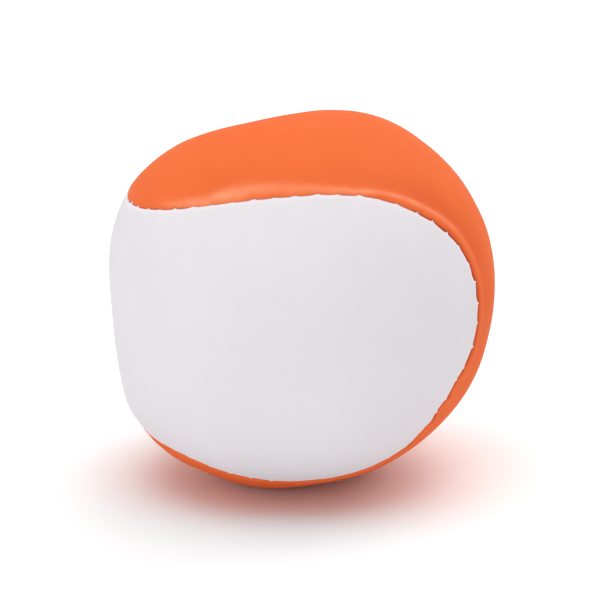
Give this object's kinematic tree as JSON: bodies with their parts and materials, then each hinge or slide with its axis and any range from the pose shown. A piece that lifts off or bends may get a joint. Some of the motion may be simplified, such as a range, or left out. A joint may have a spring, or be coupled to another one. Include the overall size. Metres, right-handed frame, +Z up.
{
  "type": "footbag",
  "caption": "Small round pellet-filled kicking bag of white and orange coated sheet, its two peanut-shaped panels sewn along one winding seam.",
  "frame": {"origin": "middle of the flat that the bag rests on, below the bag's centre", "axes": "+Z up, -Y towards the viewer's side where a white lobe faces, white neck to -X, orange neck to +X"},
  "size_m": [0.0511, 0.0524, 0.0501],
  "materials": {
    "white_sheet": "smooth satin white coated sheet",
    "orange_sheet": "smooth satin orange coated sheet",
    "thread": "pale twisted polyester thread",
    "pellets": "milky moulding pellets"
  },
  "bodies": {
    "casing": {"white_panel": "white_sheet", "orange_panel": "orange_sheet", "seam_thread": "thread", "closing_thread": "thread"},
    "packed_fill": {"pellet_bed": "pellets"},
    "loose_fill": {"pellet_01": "pellets", "pellet_02": "pellets", "pellet_03": "pellets", "pellet_04": "pellets", "pellet_05": "pellets", "pellet_06": "pellets", "pellet_07": "pellets", "pellet_08": "pellets", "pellet_09": "pellets", "pellet_10": "pellets", "pellet_11": "pellets", "pellet_12": "pellets", "pellet_13": "pellets", "pellet_14": "pellets", "pellet_15": "pellets", "pellet_16": "pellets", "pellet_17": "pellets", "pellet_18": "pellets", "pellet_19": "pellets", "pellet_20": "pellets", "pellet_21": "pellets", "pellet_22": "pellets", "pellet_23": "pellets", "pellet_24": "pellets", "pellet_25": "pellets", "pellet_26": "pellets", "pellet_27": "pellets", "pellet_28": "pellets", "pellet_29": "pellets", "pellet_30": "pellets", "pellet_31": "pellets", "pellet_32": "pellets", "pellet_33": "pellets", "pellet_34": "pellets", "pellet_35": "pellets", "pellet_36": "pellets", "pellet_37": "pellets", "pellet_38": "pellets", "pellet_39": "pellets", "pellet_40": "pellets", "pellet_41": "pellets", "pellet_42": "pellets", "pellet_43": "pellets", "pellet_44": "pellets", "pellet_45": "pellets", "pellet_46": "pellets", "pellet_47": "pellets", "pellet_48": "pellets", "pellet_49": "pellets", "pellet_50": "pellets", "pellet_51": "pellets", "pellet_52": "pellets"}
  },
  "joints": [
    {"name": "fill_tumble", "type": "hinge", "parent": "casing", "child": "packed_fill", "pos_m": [0, 0, 0.02506], "axis": [0, 1, 0], "continuous": true},
    {"name": "pellet_hop", "type": "slide", "parent": "packed_fill", "child": "loose_fill", "axis": [0, 0, 1], "range_m": [0, 0.006]}
  ]
}
